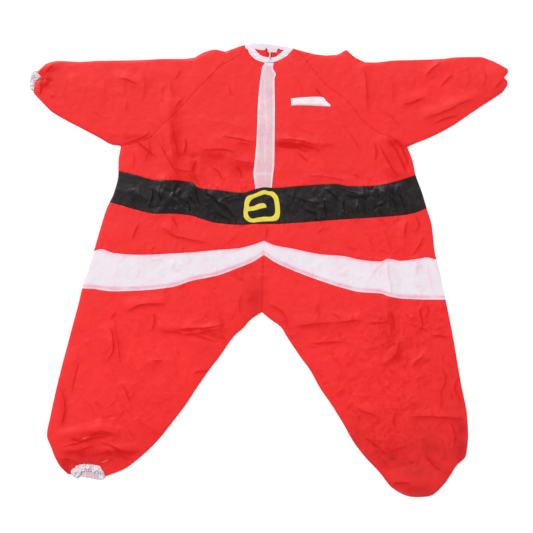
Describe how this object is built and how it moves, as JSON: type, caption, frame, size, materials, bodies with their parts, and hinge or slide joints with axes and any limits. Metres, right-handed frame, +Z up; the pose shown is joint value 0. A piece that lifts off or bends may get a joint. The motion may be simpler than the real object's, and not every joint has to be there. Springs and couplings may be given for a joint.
{
  "type": "inflatable santa suit",
  "caption": "One-piece red and white costume suit with raglan sleeves, a black belt and a front zip, laid out flat and empty, front up.",
  "frame": {"origin": "middle of the laid suit's box, on the surface it lies on", "axes": "+Z up out of the suit's front, +Y to its neck, +X to the wearer's left"},
  "size_m": [1.6249, 1.5419, 0.0133],
  "materials": {
    "red_taffeta": "thin woven polyester with a soft sheen",
    "white_taffeta": "thin woven white polyester",
    "black_belting": "thin black coated cloth with a soft sheen",
    "sheer_white": "sheer white polyester over the red cloth",
    "yellow_felt": "matt yellow foam-backed cloth",
    "white_elastic": "white ruffled elastic",
    "zip_cloth": "woven white zip tape",
    "zip_metal": "dull grey metal"
  },
  "bodies": {
    "suit": {"front_bodice_right": "red_taffeta", "front_bodice_left": "red_taffeta", "back_bodice": "red_taffeta", "sleeve_right": "red_taffeta", "sleeve_left": "red_taffeta", "skirt_front": "red_taffeta", "skirt_back": "red_taffeta", "leg_front_right": "red_taffeta", "leg_front_left": "red_taffeta", "leg_back_right": "red_taffeta", "leg_back_left": "red_taffeta", "hem_band_front_right": "white_taffeta", "hem_band_front_left": "white_taffeta", "hem_band_back_right": "white_taffeta", "hem_band_back_left": "white_taffeta", "neck_band": "white_taffeta", "neck_label": "white_taffeta", "belt_front": "black_belting", "belt_back": "black_belting", "placket": "sheer_white", "pocket_welt": "sheer_white", "belt_buckle": "yellow_felt", "wrist_cuff_right": "white_elastic", "wrist_cuff_left": "white_elastic", "ankle_cuff_right": "white_elastic", "ankle_cuff_left": "white_elastic", "zip_tape": "zip_cloth", "zip_slider": "zip_metal"},
    "pull": {"zip_pull": "zip_metal"}
  },
  "joints": [
    {"name": "pull_turn", "type": "hinge", "parent": "suit", "child": "pull", "pos_m": [0.00408, 0.72411, 0.00651], "axis": [1, 0, 0], "range_deg": [0, 165]}
  ]
}
